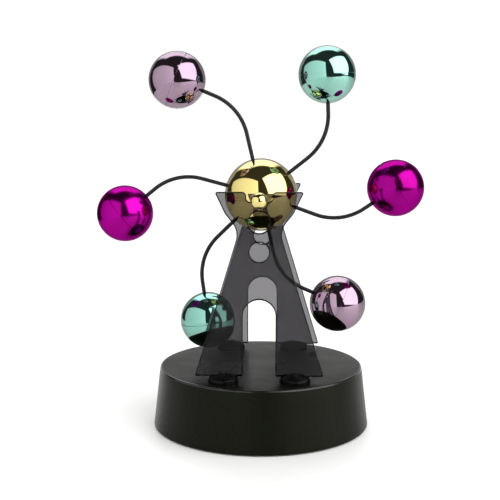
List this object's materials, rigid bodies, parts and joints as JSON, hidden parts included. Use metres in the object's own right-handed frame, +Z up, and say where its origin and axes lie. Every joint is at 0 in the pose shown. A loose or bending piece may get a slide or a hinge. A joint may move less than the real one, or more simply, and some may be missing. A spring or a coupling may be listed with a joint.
{
  "type": "magnetic desk mobile",
  "caption": "Desk mobile with coloured balls on bent wire arms, turning on an axle between two acrylic towers above a round battery base with a drive coil.",
  "frame": {"origin": "on the resting surface, under the middle of the base", "axes": "+Z up, +Y to the rear tower, the rotor turns about Y"},
  "size_m": [0.1651, 0.11, 0.1916],
  "materials": {
    "base_black": "fine satin black moulded plastic",
    "cover_black": "textured black moulded plastic",
    "screw_steel": "zinc plated",
    "battery_can": "plain wrapped can, no lettering",
    "snap_black": "vinyl snap strip",
    "board_green": "solder mask",
    "component_dark": "moulded component bodies",
    "bobbin_nylon": "natural nylon",
    "copper": "enamelled copper wire",
    "iron": "soft iron",
    "foot_rubber": "soft black rubber",
    "boss_black": "gloss black",
    "smoke_acrylic": "smoke-tinted clear acrylic, polished faces",
    "axle_steel": "ground steel",
    "hub_nylon": "black nylon",
    "gold": "vacuum metallised, pale gold mirror",
    "wire_black": "black coated wire",
    "magenta": "vacuum metallised, magenta mirror",
    "teal": "vacuum metallised, teal mirror",
    "lilac": "vacuum metallised, lilac mirror",
    "magnet_nickel": "nickel plated"
  },
  "bodies": {
    "base": {"base_housing": "base_black", "base_bottom_cover": "cover_black", "cover_screws": "screw_steel", "boss_screws": "screw_steel", "battery": "battery_can", "battery_snap": "snap_black", "circuit_board": "board_green", "board_components": "component_dark", "drive_transistor": "component_dark", "coil_bobbin": "bobbin_nylon", "coil_winding": "copper", "coil_core": "iron", "rubber_foot_1": "foot_rubber", "rubber_foot_2": "foot_rubber", "rubber_foot_3": "foot_rubber", "rubber_foot_4": "foot_rubber", "tower_boss_front_left": "boss_black", "tower_boss_front_right": "boss_black", "tower_boss_rear_left": "boss_black", "tower_boss_rear_right": "boss_black", "front_tower_plate": "smoke_acrylic", "rear_tower_plate": "smoke_acrylic"},
    "rotor": {"axle": "axle_steel", "hub_core": "hub_nylon", "hub_front_shell": "gold", "hub_rear_shell": "gold", "front_end_ball": "gold", "rear_end_ball": "gold", "arm_1": "wire_black", "ball_1_inner_shell": "magenta", "ball_1_outer_shell": "magenta", "ball_1_magnet": "magnet_nickel", "arm_2": "wire_black", "ball_2_inner_shell": "teal", "ball_2_outer_shell": "teal", "ball_2_magnet": "magnet_nickel", "arm_3": "wire_black", "ball_3_inner_shell": "lilac", "ball_3_outer_shell": "lilac", "ball_3_magnet": "magnet_nickel", "arm_4": "wire_black", "ball_4_inner_shell": "magenta", "ball_4_outer_shell": "magenta", "ball_4_magnet": "magnet_nickel", "arm_5": "wire_black", "ball_5_inner_shell": "teal", "ball_5_outer_shell": "teal", "ball_5_magnet": "magnet_nickel", "arm_6": "wire_black", "ball_6_inner_shell": "lilac", "ball_6_outer_shell": "lilac", "ball_6_magnet": "magnet_nickel"},
    "door": {"battery_door": "cover_black"}
  },
  "joints": [
    {"name": "rotor_spin", "type": "hinge", "parent": "base", "child": "rotor", "pos_m": [0, 0, 0.11782], "axis": [0, 1, 0], "continuous": true},
    {"name": "battery_door_hinge", "type": "hinge", "parent": "base", "child": "door", "pos_m": [0, 0.0154, 0.0025], "axis": [-1, 0, 0], "range_deg": [0, 85]}
  ]
}
